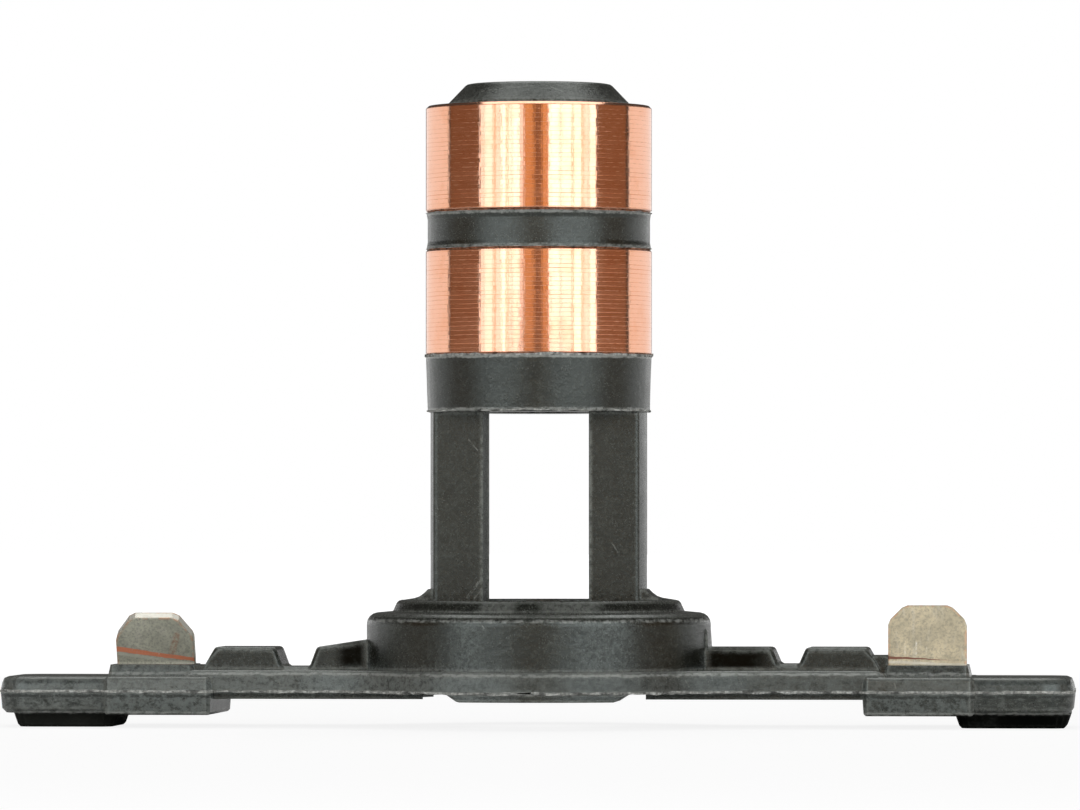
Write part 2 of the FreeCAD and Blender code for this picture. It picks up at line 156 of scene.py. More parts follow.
# Colours of the flash, of the copper and of the tinned leads, with painted highlights and shade among them
FLASH_PALE = (0.74, 0.75, 0.70)
FLASH_GREY = (0.26, 0.265, 0.245)
FLASH_DARK = (0.050, 0.052, 0.047)
COPPER = (0.95, 0.51, 0.345)
COPPER_STAINED = (0.92, 0.46, 0.29)
COPPER_GROOVE = (0.80, 0.25, 0.07)
COPPER_SPECKS = (0.28, 0.10, 0.05)
TIN_STREAKS = (0.86, 0.83, 0.72)
PAINTED_TOP_HIGHLIGHT = (0.95, 0.93, 0.82)
TOP_RIM_SHADE = (0.36, 0.33, 0.22)
TIN_BURR = (0.95, 0.93, 0.80)
BARE_EDGE = (0.90, 0.52, 0.30)

# The turned copper: pitch and wander of the lathe's groove, and heights of what is uneven, in millimetres
GROOVE_PITCH = 0.30
GROOVE_WANDER = 0.08
GROOVE_DEPTH = 0.0006
LAND_WAVES = 0.0064
FINE_WAVES = 0.0006
CHATTER = 0.0050

# Shares of the pitch: half a land, how much that differs from land to land, and a groove's flank
LAND_HALF = 0.455
LAND_HALF_SPREAD = 0.06
GROOVE_FLANK = 0.08

# Where the textures that differ from land to land are read
LAND_SEED = 0.37
LAND_SHIFT = 7.3

# The long scratch of each lead, with its burr, in millimetres
SCRATCH_WANDER = 0.14
LEAST_SCRATCH = 0.002
BURR_DROP = 0.30

# Torn flash: sizes in millimetres, seeds for the noises that shape it, and numbers of points
FLASH_INSET = 0.10
FLASH_SPACING = 0.16
FLASH_LIFT = 0.10
LONG_TEAR = 1.6
SHORT_TEAR = 0.35
LIFT_WAVE = 1.1
THICKNESS_WAVE = 0.6
SHORT_TEAR_SEED = 9
LIFT_SEED = 4
THICKNESS_SEED = 2
ARMS_FROM = 20.0
LEAST_POINTS = 8
ROUND_POINTS = 180

# Flash on the parting line: least and greatest reach, thickness at the root, seed, and half the thickness at
# the tip as a share of that at the root. Flash on the round rims: name, radius, height, and the same values
PARTING_FLASH = ((0.08, 0.30), 0.27, 3.1, 0.34)
RIM_FLASH = (
    ("collar_top_flash", RING_RADIUS - 0.02, LOWER_RING_Z + 0.02, (0.01, 0.13), 0.26, 5.7, 0.36),
    ("collar_bottom_flash", COLLAR_BOTTOM_RADIUS - 0.06, TUBE_BOTTOM_Z + 0.10, (0.0, 0.14), 0.20, 7.9, 0.30),
    ("band_bottom_flash", RING_RADIUS - 0.05, BAND_Z, (0.0, 0.07), 0.08, 2.3, 0.20),
    ("band_top_flash", RING_RADIUS - 0.05, UPPER_RING_Z, (0.0, 0.07), 0.08, 4.9, 0.20),
)

# Floor and flats, in metres
FLOOR_HALF = 3.0
FLOOR_Z = -0.00002
FLAT_RADIUS = 1.15
FLAT_BOTTOM = 0.015
FLAT_TOP = 0.145
FLAT_STEPS = 12
FLATS = (("right_flat", 19.5, 82.5), ("left_flat", 106.5, 169.5))
FLOOR_COLOUR = (0.80, 0.80, 0.80)
FLAT_COLOUR = (0.86, 0.86, 0.86)

# Camera: the angle that it is turned by, its place in metres, and the frame with its scale on the bore's axis
CAMERA_YAW = math.radians(4.5)
CAMERA_DISTANCE = 0.570
CAMERA_HEIGHT = 0.014
TARGET_RIGHT = 0.08 * MM
TARGET_HEIGHT = 22.02 * MM
SENSOR_MM = 36.0
FRAME_PIXELS = 1080
PIXELS_PER_MM = 14.58

# Light of the world, of the lamp overhead and of the panels, with places and heights in metres
WORLD_LIGHT = 0.07
WORLD_COLOUR = (1.0, 0.96, 0.92, 1.0)
OVERHEAD_SIZE = 1.2
OVERHEAD_PLACE = (0.0, 0.60, 1.25)
OVERHEAD_RADIANCE = 1.9
WHITE = (0.90, 0.95, 1.0)
WARM = (1.0, 0.54, 0.18)
BROWN = (1.0, 0.42, 0.08)
FILL = (1.0, 0.72, 0.45)
PANEL_DISTANCE = 0.8
GROUND = 0.0
RAISED = 0.036
TALL = 0.42
MIDDLE = 0.30
SHORT = 0.20

# Panels: name, first and last angle in degrees to the right of the camera, bottom, top, radiance and colour
PANELS = (
    ("left_card", -102.0, -64.0, GROUND, MIDDLE, 0.135, BROWN),
    ("right_card", 62.5, 100.0, GROUND, MIDDLE, 0.165, BROWN),
    ("middle_card", -4.6, 2.3, RAISED, SHORT, 0.21, BROWN),
    ("left_1", -62.0, -58.2, GROUND, TALL, 1.8, WHITE),
    ("left_2", -57.4, -46.8, GROUND, TALL, 2.0, WHITE),
    ("left_3", -44.6, -39.8, GROUND, TALL, 1.7, WHITE),
    ("left_4", -38.8, -33.2, GROUND, TALL, 2.7, WHITE),
    ("left_5", -31.2, -27.2, RAISED, TALL, 2.5, WHITE),
    ("left_6", -26.4, -19.6, RAISED, TALL, 2.7, WHITE),
    ("left_7", -18.6, -15.2, RAISED, TALL, 1.5, WHITE),
    ("front_left", -14.6, -5.0, RAISED, MIDDLE, 0.68, WARM),
    ("front_right", 2.6, 9.4, RAISED, MIDDLE, 0.72, WARM),
    ("right_1", 10.4, 21.4, RAISED, TALL, 2.8, WHITE),
    ("right_2", 22.2, 33.8, RAISED, TALL, 2.6, WHITE),
    ("right_3", 35.8, 44.2, GROUND, TALL, 2.5, WHITE),
    ("right_4", 46.2, 52.0, GROUND, TALL, 1.8, WHITE),
    ("right_5", 52.8, 60.5, GROUND, TALL, 2.5, WHITE),
    ("gap_0", -46.8, -44.6, RAISED, MIDDLE, 0.95, FILL),
    ("gap_1", -33.2, -31.2, RAISED, MIDDLE, 0.95, FILL),
    ("gap_2", 33.8, 35.8, RAISED, MIDDLE, 0.95, FILL),
    ("gap_3", 44.2, 46.2, RAISED, MIDDLE, 0.95, FILL),
)


class Nodes:
    """Short names for building a material's node tree, in millimetres unless another scale is given."""

    def __init__(self, name, scale=1 / MM):
        self.material = bpy.data.materials.new(name)
        self.material.use_nodes = True
        self.tree = self.material.node_tree
        self.tree.nodes.clear()
        self.output = self.tree.nodes.new("ShaderNodeOutputMaterial")
        self.scale = scale
        self.place = self.scaled_place()
        self.x, self.y, self.z = self.parts(self.place)

    def set(self, socket, value):
        """Links another node's output to a socket, or sets the socket's own value."""
        if isinstance(value, bpy.types.NodeSocket):
            self.tree.links.new(value, socket)
        else:
            socket.default_value = value

    def add(self, kind, values=None, **settings):
        node = self.tree.nodes.new("ShaderNode" + kind)
        for key, value in settings.items():
            setattr(node, key, value)
        for key, value in (values or {}).items():
            self.set(node.inputs[key], value)
        return node

    def math(self, operation, a, b=0.0, c=0.0, clamp=False):
        node = self.add("Math", {0: a, 1: b, 2: c}, operation=operation, use_clamp=clamp)
        return node.outputs[0]

    def times(self, *values):
        product = values[0]
        for value in values[1:]:
            product = self.math("MULTIPLY", product, value)
        return product

    def largest(self, *values):
        most = values[0]
        for value in values[1:]:
            most = self.math("MAXIMUM", most, value)
        return most

    def linear(self, value, factor, offset, clamp=False):
        """The value times the factor, plus the offset."""
        return self.math("MULTIPLY_ADD", value, factor, offset, clamp)

    def clamped(self, value):
        return self.math("ADD", value, 0.0, clamp=True)

    def apart(self, a, b):
        """How far two values are from each other."""
        return self.math("ABSOLUTE", self.math("SUBTRACT", a, b))

    def scaled_place(self, stretch=(1.0, 1.0, 1.0)):
        """Place on the object. A texture that reads it is drawn out where the stretch is under 1."""
        place = self.add("TexCoord").outputs["Object"]
        factors = tuple(self.scale * s for s in stretch)
        return self.add("VectorMath", {0: place, 1: factors}, operation="MULTIPLY").outputs[0]

    def noise(self, scale, detail=3.0, rough=0.55, distortion=0.0, place=None):
        values = {"Scale": scale, "Detail": detail, "Roughness": rough, "Distortion": distortion}
        values["Vector"] = self.place if place is None else place
        return self.add("TexNoise", values).outputs["Fac"]

    def wandering(self, scale, amount, detail=3.0, rough=0.55):
        """Noise round zero, as wide as the amount."""
        return self.times(self.math("SUBTRACT", self.noise(scale, detail, rough), 0.5), amount)

    def step(self, value, low, high, first=0.0, last=1.0):
        """Smooth change from first to last as the value goes from low to high."""
        values = {"Value": value, "From Min": low, "From Max": high, "To Min": first, "To Max": last}
        node = self.add("MapRange", values, interpolation_type="SMOOTHSTEP", clamp=True)
        return node.outputs[0]

    def within(self, value, stretch, strength=1.0):
        """Mask of a stretch, which gives where it starts, is full, starts to fade and ends."""
        start, full, fading, end = stretch
        return self.times(self.step(value, start, full), self.step(value, end, fading, last=strength))

    def mix(self, factor, a, b):
        node = self.add("Mix", {0: factor}, data_type="RGBA", blend_type="MIX")
        for index, value in ((6, a), (7, b)):
            self.set(node.inputs[index], value if isinstance(value, bpy.types.NodeSocket) else (*value, 1.0))
        return node.outputs[2]

    def parts(self, vector):
        node = self.add("SeparateXYZ", {0: vector})
        return node.outputs[0], node.outputs[1], node.outputs[2]

    def joined(self, x, y, z):
        return self.add("CombineXYZ", {0: x, 1: y, 2: z}).outputs[0]

    def facing(self):
        """Parts of the surface's own direction."""
        return self.parts(self.add("NewGeometry").outputs["Normal"])

    def softened(self, radius, samples=6):
        """Direction of the surface with its edges rounded."""
        return self.add("Bevel", {"Radius": radius * MM}, samples=samples).outputs[0]

    def edge(self, radius, low, high):
        """How far the surface turns within a small distance: worn edges and corners."""
        hard = self.add("NewGeometry").outputs["Normal"]
        values = {0: self.softened(radius), 1: hard}
        same = self.add("VectorMath", values, operation="DOT_PRODUCT").outputs["Value"]
        return self.step(self.math("SUBTRACT", 1.0, same), low, high)

    def scrape(self, start, end, half):
        """Mask of a straight scrape between two places in the X and Z plane."""
        run_x = end[0] - start[0]
        run_z = end[1] - start[1]
        square = run_x ** 2 + run_z ** 2
        off_x = self.math("SUBTRACT", self.x, start[0])
        off_z = self.math("SUBTRACT", self.z, start[1])
        along = self.linear(off_z, run_z / square, self.times(off_x, run_x / square))
        along = self.clamped(along)
        left_x = self.linear(along, -run_x, off_x)
        left_z = self.linear(along, -run_z, off_z)
        reach = self.math("SQRT", self.linear(left_x, left_x, self.times(left_z, left_z)))
        return self.step(reach, half, half * 0.45)

    def bump(self, height, normal=None):
        values = {"Height": height, "Distance": MM, "Strength": 1.0}
        if normal is not None:
            values["Normal"] = normal
        return self.add("Bump", values).outputs[0]

    def finish(self, colour, roughness, normal, metallic=0.0, sockets=None):
        """Ends the material in its shader, with any other of its sockets by name."""
        values = {"Base Color": colour, "Roughness": roughness, "Metallic": metallic, "Normal": normal}
        shader = self.add("BsdfPrincipled", {**values, **(sockets or {})})
        self.tree.links.new(shader.outputs[0], self.output.inputs["Surface"])
        return self.material


class Moulding(Nodes):
    """Black mineral-filled moulding: mottled, dusty, rubbed pale along its edges and parting line,
    with painted highlights and painted shade in places.
    """

    def __init__(self, name):
        super().__init__(name)
        self.span = self.math("ABSOLUTE", self.x)
        self.clouds = self.noise(0.22, detail=4.0, rough=0.6)
        self.blotches = self.noise(0.9, detail=5.0, rough=0.65)
        self.grain = self.noise(3.2, detail=6.0, rough=0.78)
        self.pits = self.noise(9.0, rough=0.6)
        self.specks = self.step(self.pits, 0.62, 0.69)
        self.body = None

    def coat(self, mask, colour):
        self.body = self.mix(mask, self.body, MOULDING[colour])

    def ground(self):
        mottled = self.step(self.blotches, 0.35, 0.68)
        self.body = self.mix(mottled, MOULDING["black"], MOULDING["weathered"])
        self.coat(self.step(self.clouds, 0.45, 0.7, last=0.55), "clouds")
        # Above the legs the pale grain coat is a little weaker, so the moulding is darker there
        less_above_legs = self.step(self.z, 20.9, 21.5, first=1.0, last=0.85)
        self.coat(self.times(self.step(self.grain, 0.44, 0.70, last=0.55), less_above_legs), "dusted")

    def arm_rubs(self):
        """Long pale rub marks along the arms and the plate, fewer towards the right."""
        rubbed = self.noise(2.7, detail=6.0, rough=0.78, place=self.scaled_place((0.45, 0.6, 1.0)))
        low = self.times(self.step(self.z, 4.15, 3.85), self.step(self.x, -9.0, 3.0, first=0.95, last=0.60))
        self.coat(self.times(self.step(rubbed, 0.40, 0.66), low), "arm_rubs")

    def filler(self):
        """Pale specks of filler and dust, in patches, and thicker on the band between the rings."""
        patch = self.step(self.noise(0.55, rough=0.6), 0.42, 0.62)
        patch = self.largest(patch, self.within(self.z, BAND_SPECKS_Z))
        self.coat(self.times(self.specks, self.linear(patch, 0.50, 0.05)), "specks")

    def plate(self):
        # The plate's rim and the foot of the round collar carry a dull bloom, least right of the middle
        fine = self.step(self.grain, 0.38, 0.60, first=0.15, last=0.55)
        mottled = self.linear(self.step(self.blotches, 0.40, 0.60), 0.35, fine)
        less = self.linear(self.within(self.x, LESS_BLOOM_X), -0.5, 1.0)
        self.coat(self.times(self.within(self.z, BLOOM_Z), mottled, less), "bloom")
        # The left half of the plate is the dustier one
        left = self.step(self.x, -6.0, 2.0, first=0.40, last=0.0)
        height = self.times(self.step(self.z, 4.6, 3.8), self.step(self.z, 1.2, 2.3, first=0.25))
        self.coat(self.times(height, left, self.step(self.grain, 0.42, 0.57)), "plate_dust")

    def dust_and_painted_highlights(self):
        # Dust on the blocks under the arms, and two painted highlights on the front of the round collar
        blocks = self.times(self.within(self.span, BLOCKS_SPAN), self.within(self.z, BLOCKS_Z))
        collar_highlights = self.largest(*[self.within(self.x, stretch) for stretch in COLLAR_HIGHLIGHTS_X])
        collar_highlights = self.times(collar_highlights, self.within(self.z, COLLAR_HIGHLIGHTS_Z, strength=0.55))
        mottled = self.step(self.grain, 0.40, 0.58, last=0.75)
        self.coat(self.times(self.largest(blocks, collar_highlights), mottled), "blocks")
        # The step's rim is paler in two places between the legs
        rim = self.largest(*[self.within(self.x, stretch) for stretch in STEP_RIM_X])
        rim = self.times(rim, self.within(self.z, STEP_RIM_Z))
        self.coat(self.times(rim, self.step(self.grain, 0.36, 0.60, first=0.35, last=0.85)), "step_rim")

    def grime(self):
        """Dark brown grime on the ribs where they meet the round collar. Gives its mask."""
        near = self.times(self.within(self.x, GRIME_X), self.step(self.span, 11.6, 12.2))
        mask = self.times(near, self.step(self.z, 3.95, 4.25))
        self.coat(self.times(mask, self.step(self.blotches, 0.62, 0.45, first=0.45, last=0.9)), "grime")
        return mask

    def shaded_feet(self):
        """Painted shade: each foot painted dark, the left one greyer. Gives their mask, which also dulls
        them.
        """
        mask = self.times(self.step(self.z, 1.15, 0.85), self.step(self.span, 27.0, 28.0))
        self.coat(self.times(mask, self.step(self.clouds, 0.62, 0.50, first=0.80)), "shaded_feet")
        self.coat(self.times(mask, self.step(self.x, 1.0, -1.0, last=0.8)), "left_foot_shade")
        return mask

    def top_dust(self, up):
        """Dust on the faces that look up, less on the nose and none below the parting line."""
        mottled = self.step(self.grain, 0.36, 0.58, first=0.35, last=0.95)
        nose = self.step(self.z, 42.4, 43.6, first=1.0, last=0.45)
        above = self.step(self.z, 2.6, 3.3)
        self.coat(self.times(self.step(up, 0.35, 0.85), mottled, nose, above), "top_dust")

    def edges(self, shaded_feet):
        # Worn pale edges, which along the rounds also stand in as painted highlights
        ragged = self.step(self.noise(2.6, detail=5.0, rough=0.75), 0.38, 0.60)
        mask = self.times(self.edge(MOULDING_WORN, 0.003, 0.045), self.linear(ragged, 0.70, 0.20))
        self.coat(self.times(mask, self.linear(shaded_feet, -0.85, 1.0)), "edges")

    def scrapes_and_highlights(self, front):
        """Short ragged lines on the faces that look to the front: scraped marks and one painted highlight."""
        flaked = self.step(self.noise(3.4, detail=4.0, rough=0.75), 0.44, 0.56)
        marks = self.largest(*[self.scrape(*row) for row in SCRAPES_AND_HIGHLIGHTS])
        self.coat(self.times(marks, front, self.linear(flaked, 0.8, 0.1)), "scrapes_and_highlights")

    def pale_lines(self):
        """Pale lines where flash was cut back and dust lies in corners, partly painted highlights along the
        edges, and a shade under the parting line.
        """
        level = self.math("ADD", self.z, self.wandering(1.3, LINE_WANDER, detail=4.0, rough=0.65))
        gaps = self.noise(1.9, detail=5.0, rough=0.7)
        lines = []
        for line_z, half, cover, share in PALE_LINES:
            broken = self.step(gaps, cover - 0.10, cover + 0.10, last=share)
            lines.append(self.times(self.step(self.apart(level, line_z), half, half * 0.3), broken))
        off_shade = self.apart(level, PARTING_Z - PARTING_SHADE_DROP)
        shade = self.times(self.step(off_shade, 0.14, 0.05), self.step(gaps, 0.34, 0.52, last=0.8))
        self.coat(shade, "parting_shade")
        self.coat(self.largest(*lines), "trimmed_and_highlights")

    def finished(self):
        self.ground()
        self.arm_rubs()
        self.filler()
        self.plate()
        self.dust_and_painted_highlights()
        grime = self.grime()
        shaded_feet = self.shaded_feet()
        facing = self.facing()
        self.top_dust(facing[2])
        self.edges(shaded_feet)
        self.scrapes_and_highlights(self.step(facing[1], -0.3, -0.6))
        self.pale_lines()
        rough = self.linear(self.blotches, 0.28, 0.08)
        rough = self.linear(self.specks, 0.25, rough)
        rough = self.linear(shaded_feet, 0.45, rough, clamp=True)
        height = self.linear(self.grain, GRAIN_HEIGHT, self.times(self.pits, PITS_HEIGHT))
        height = self.linear(self.blotches, BLOTCHES_HEIGHT, height)
        normal = self.bump(height, self.softened(MOULDING_ROUND))
        # The feet lose their gloss as part of their painted shade, and the grime is dull as well
        gloss = self.step(self.largest(shaded_feet, grime), 0.0, 1.0, first=0.50, last=0.03)
        sockets = {"IOR": MOULDING_IOR, "Specular IOR Level": gloss, "Specular Tint": MOULDING_TINT}
        return self.finish(self.body, rough, normal, sockets=sockets)


def flash_material():
    """Thin torn flash: the same moulding, pale as it is thin and rubbed, and painted paler as a highlight."""
    n = Nodes("moulding_flash")
    grain = n.noise(3.2, detail=5.0, rough=0.75)
    blotches = n.noise(1.1, rough=0.6)
    body = n.mix(n.step(grain, 0.38, 0.66), FLASH_GREY, FLASH_PALE)
    body = n.mix(n.step(blotches, 0.52, 0.64, last=0.8), body, FLASH_DARK)
    return n.finish(body, 0.62, n.bump(n.times(grain, FLASH_HEIGHT)), sockets={"IOR": 1.5})


def copper_material():
    """Turned copper: polished lands with a fine darker groove between them, each a little different."""
    n = Nodes("turned_copper")
    turns = n.math("ADD", n.z, n.wandering(0.35, GROOVE_WANDER, detail=2.0))
    turns = n.math("DIVIDE", turns, GROOVE_PITCH)
    index = n.math("FLOOR", turns)
    own = n.add("TexWhiteNoise", {"Vector": n.joined(index, LAND_SEED, 0.0)}, noise_dimensions="3D")
    own = own.outputs["Value"]
    off_middle = n.apart(n.math("FRACT", turns), 0.5)
    half = n.linear(own, -LAND_HALF_SPREAD, LAND_HALF)
    groove = n.clamped(n.math("DIVIDE", n.math("SUBTRACT", off_middle, half), GROOVE_FLANK))
    # Each land has its own faint waviness round the ring
    land_place = n.joined(n.x, n.y, n.times(index, LAND_SHIFT))
    waviness = n.times(n.noise(2.0, detail=2.0, place=land_place), LAND_WAVES)
    fine = n.noise(1.4, rough=0.7, place=n.scaled_place((1.0, 1.0, 9.0)))
    fine = n.times(fine, FINE_WAVES)
    # Chatter of the last cut runs upright through both rings
    chatter = n.noise(1.9, detail=4.0, rough=0.7, place=n.joined(n.x, n.y, 0.0))
    chatter = n.times(chatter, CHATTER)
    height = n.linear(groove, -GROOVE_DEPTH, n.math("ADD", waviness, n.math("ADD", fine, chatter)))
    stain = n.noise(0.5, detail=5.0, rough=0.65)
    metal = n.mix(n.step(stain, 0.42, 0.68), COPPER, COPPER_STAINED)
    metal = n.mix(n.times(groove, n.linear(own, 0.45, 0.30)), metal, COPPER_GROOVE)
    specks = n.step(n.noise(3.4, detail=4.0, rough=0.7), 0.70, 0.76, last=0.7)
    metal = n.mix(specks, metal, COPPER_SPECKS)
    rough = n.linear(groove, 0.05, n.linear(own, 0.03, 0.085))
    return n.finish(metal, rough, n.bump(height, n.softened(COPPER_ROUND, samples=4)), metallic=1.0)


def lead_material(name, scratch, stain_share, tint, least_rough, bare, metallic, scrapes_and_highlights):
    """Tinned copper strip, with one long scratch down to the copper and short scraped marks, some of them
    painted glints.

    The scratch gives x, z, slope, half width and its loss per mm. A scrape or a painted glint gives its start
    and end as (x, z), half the width, share and colour.
    """
    n = Nodes(name)
    clouds = n.noise(0.5, detail=4.0, rough=0.6, distortion=0.6)
    grain = n.noise(3.0, detail=5.0, rough=0.7)
    streaks = n.noise(2.2, detail=4.0, rough=0.65, place=n.scaled_place((1.0, 1.0, 0.25)))
    speckle = n.noise(6.0, detail=4.0, rough=0.75)
    tin = n.mix(n.step(clouds, 0.40, 0.64), tint, tuple(0.80 * c for c in tint))
    tin = n.mix(n.step(streaks, 0.52, 0.70, last=0.55), tin, TIN_STREAKS)
    tin = n.mix(n.step(grain, 0.40, 0.68, last=stain_share), tin, tuple(0.45 * c for c in tint))
    tin = n.mix(n.step(speckle, 0.46, 0.66, last=stain_share), tin, tuple(0.38 * c for c in tint))
    # Painted highlight: the sheared top is painted bright where it faces up, with a painted darker rim
    facing = n.facing()
    front = n.step(facing[1], -0.3, -0.6)
    cut = n.step(facing[2], 0.25, 0.45)
    tin = n.mix(n.times(cut, 0.85), tin, PAINTED_TOP_HIGHLIGHT)
    rim = n.times(n.edge(LEAD_CUT_RIM, 0.01, 0.06), n.step(facing[2], 0.30, 0.60))
    tin = n.mix(n.times(rim, 0.8), tin, TOP_RIM_SHADE)
    # Bare copper on the sheared edges
    ragged = n.step(n.noise(1.8, detail=4.0, rough=0.7), 0.43, 0.57)
    tin = n.mix(n.times(n.edge(LEAD_BARE, 0.01, 0.10), ragged, 0.85), tin, BARE_EDGE)
    # The long scratch, with a bright burr under it
    line_x, line_z, slope, half, taper = scratch
    level = n.math("ADD", n.z, n.wandering(1.6, SCRATCH_WANDER))
    along = n.math("SUBTRACT", n.x, line_x)
    expected = n.linear(along, slope, line_z)
    reach = n.largest(n.linear(along, -taper, half), LEAST_SCRATCH)
    scratched = n.step(n.math("DIVIDE", n.apart(level, expected), reach), 1.1, 0.8)
    scratched = n.times(scratched, n.step(grain, 0.26, 0.38), front)
    burr = n.step(n.apart(level, n.math("SUBTRACT", expected, BURR_DROP)), 0.14, 0.05, last=0.7)
    tin = n.mix(n.times(burr, front), tin, TIN_BURR)
    tin = n.mix(scratched, tin, bare)
    # Scraped marks, and painted glints where a mark is near white
    for start, end, half, share, colour in scrapes_and_highlights:
        mark = n.times(n.scrape(start, end, half), n.step(speckle, 0.42, 0.56, first=0.1, last=share))
        tin = n.mix(n.times(mark, front), tin, colour)
    rough = n.linear(cut, -0.20, n.linear(clouds, 0.25, least_rough), clamp=True)
    height = n.linear(grain, GRAIN_HEIGHT, n.times(clouds, TIN_WAVES))
    # The painted highlight on the top is also less metallic
    metal = n.linear(cut, -0.45 * metallic, metallic)
    metal = n.times(metal, n.linear(scratched, -0.8, 1.0))
    return n.finish(tin, rough, n.bump(height, n.softened(LEAD_ROUND)), metal)


def smooth_noise(place, size, seed):
    return noise.noise(Vector((place[0] / size + seed, place[1] / size - seed, place[2] / size)))


def section_loops(node, level):
    """Closed loops, in millimetres, in which a CAD node crosses a height."""
    mesh = bmesh.new()
    mesh.from_mesh(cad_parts[node].data)
    bmesh.ops.remove_doubles(mesh, verts=mesh.verts, dist=1e-6)
    everything = list(mesh.verts) + list(mesh.edges) + list(mesh.faces)
    cut = bmesh.ops.bisect_plane(
        mesh, geom=everything, plane_co=(0, 0, level * MM), plane_no=(0, 0, 1), clear_outer=True, dist=1e-7
    )["geom_cut"]
    near = {}
    for edge in (e for e in cut if isinstance(e, bmesh.types.BMEdge)):
        a, b = edge.verts
        near.setdefault(a, []).append(b)
        near.setdefault(b, []).append(a)
    loops = []
    left = set(near)
    for start in near:
        if start not in left:
            continue
        left.discard(start)
        loop = [start]
        here = start
        ahead = [v for v in near[here] if v in left]
        while ahead:
            before, here = here, ahead[0]
            left.discard(here)
            loop.append(here)
            ahead = [v for v in near[here] if v is not before and v in left]
        if len(loop) > LEAST_POINTS:
            loops.append(np.array([v.co[:] for v in loop]) / MM)
    mesh.free()
    return loops


def resampled(loop, spacing):
    """Points at an even spacing round a closed loop."""
    closed = np.vstack([loop, loop[:1]])
    lengths = np.linalg.norm(np.diff(closed, axis=0), axis=1)
    along = np.concatenate([[0.0], np.cumsum(lengths)])
    places = np.linspace(0.0, along[-1], int(along[-1] / spacing), endpoint=False)
    return np.stack([np.interp(places, along, closed[:, i]) for i in range(3)], axis=1)


def outward(points):
    """Level directions that point out of a closed loop, one for each point."""
    before = np.roll(points, 1, axis=0)
    after = np.roll(points, -1, axis=0)
    ahead = after - before
    out = np.stack([ahead[:, 1], -ahead[:, 0], np.zeros(len(points))], axis=1)
    out /= np.linalg.norm(out, axis=1)[:, None]
    double_area = np.sum(points[:, 0] * after[:, 1] - after[:, 0] * points[:, 1])
    return -out if double_area < 0 else out


def torn_flash(name, loop, material, reach, thickness, seed, tip_share):
    """Torn flash that stands out from a closed loop: a thin wedge of uneven reach, inside the CAD's box."""
    limit = [side / MM for side in cad_box[1][:2]]
    points = resampled(loop, FLASH_SPACING)
    mesh = bmesh.new()
    rows = []
    for point, way in zip(points, outward(points)):
        tear = 0.5 + 0.9 * smooth_noise(point, LONG_TEAR, seed)
        tear += 0.8 * smooth_noise(point, SHORT_TEAR, seed + SHORT_TEAR_SEED)
        width = reach[0] + (reach[1] - reach[0]) * min(1.0, max(0.0, tear))
        lift = FLASH_LIFT * smooth_noise(point, LIFT_WAVE, seed + LIFT_SEED)
        thick = thickness * (0.75 + 0.5 * smooth_noise(point, THICKNESS_WAVE, seed + THICKNESS_SEED))
        root = point - way * FLASH_INSET
        tip = point + way * width
        for i in range(2):
            tip[i] = min(max(tip[i], -limit[i]), limit[i])
        corners = (
            root + (0, 0, thick / 2),
            tip + (0, 0, lift + thick * tip_share),
            tip + (0, 0, lift - thick * tip_share),
            root - (0, 0, thick / 2),
        )
        rows.append([mesh.verts.new((corner * MM)[:]) for corner in corners])
    for row, following in zip(rows, rows[1:] + rows[:1]):
        for i in range(4):
            j = (i + 1) % 4
            mesh.faces.new((row[i], row[j], following[j], following[i]))
    bmesh.ops.recalc_face_normals(mesh, faces=mesh.faces)
    data = bpy.data.meshes.new(name)
    mesh.to_mesh(data)
    mesh.free()
    data.materials.append(material)
    piece = bpy.data.objects.new(name, data)
    bpy.context.scene.collection.objects.link(piece)
    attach(piece, "root")


def round_loop(radius, level):
    turns = np.linspace(0, 2 * math.pi, ROUND_POINTS, endpoint=False)
    return np.stack([radius * np.cos(turns), radius * np.sin(turns), np.full(ROUND_POINTS, level)], axis=1)


def stage_material(name, colour, seen_near, mirrored_near, own_light):
    """Pale surface that shows white to the camera, and near the object still keeps shadows on it."""
    n = Nodes(name, scale=1.0)
    reach = n.add("VectorMath", {0: n.place}, operation="LENGTH").outputs["Value"]
    seen = n.step(reach, 0.10, 0.45, first=seen_near)
    mirrored = n.step(reach, 0.30, 1.10, first=mirrored_near)
    tone = n.mix(n.noise(3.0), colour, tuple(0.985 * c for c in colour))
    matt = n.add("BsdfDiffuse", {"Color": tone}).outputs[0]
    glow = n.add("Emission", {"Strength": own_light}).outputs[0]
    path = n.add("LightPath").outputs
    mirrors = n.largest(path["Is Glossy Ray"], path["Is Transmission Ray"])
    looks = n.largest(n.times(path["Is Camera Ray"], seen), n.times(mirrors, mirrored))
    mixed = n.add("MixShader", {0: looks, 1: matt, 2: glow})
    n.tree.links.new(mixed.outputs[0], n.output.inputs["Surface"])
    return n.material


def stage_mesh(name, corners, faces, material):
    data = bpy.data.meshes.new(name)
    data.from_pydata(corners, [], faces)
    data.materials.append(material)
    piece = bpy.data.objects.new(name, data)
    bpy.context.scene.collection.objects.link(piece)
    return piece


def flat(name, start, end, material):
    """Curved upright flat behind the object, between two angles in degrees. Matt faces get no light of it."""
    corners = []
    for i in range(FLAT_STEPS + 1):
        angle = math.radians(start + (end - start) * i / FLAT_STEPS)
        for height in (FLAT_BOTTOM, FLAT_TOP):
            corners.append((FLAT_RADIUS * math.cos(angle), FLAT_RADIUS * math.sin(angle), height))
    faces = [(2 * i, 2 * i + 1, 2 * i + 3, 2 * i + 2) for i in range(FLAT_STEPS)]
    piece = stage_mesh(name, corners, faces, material)
    piece.visible_shadow = False
    piece.visible_diffuse = False


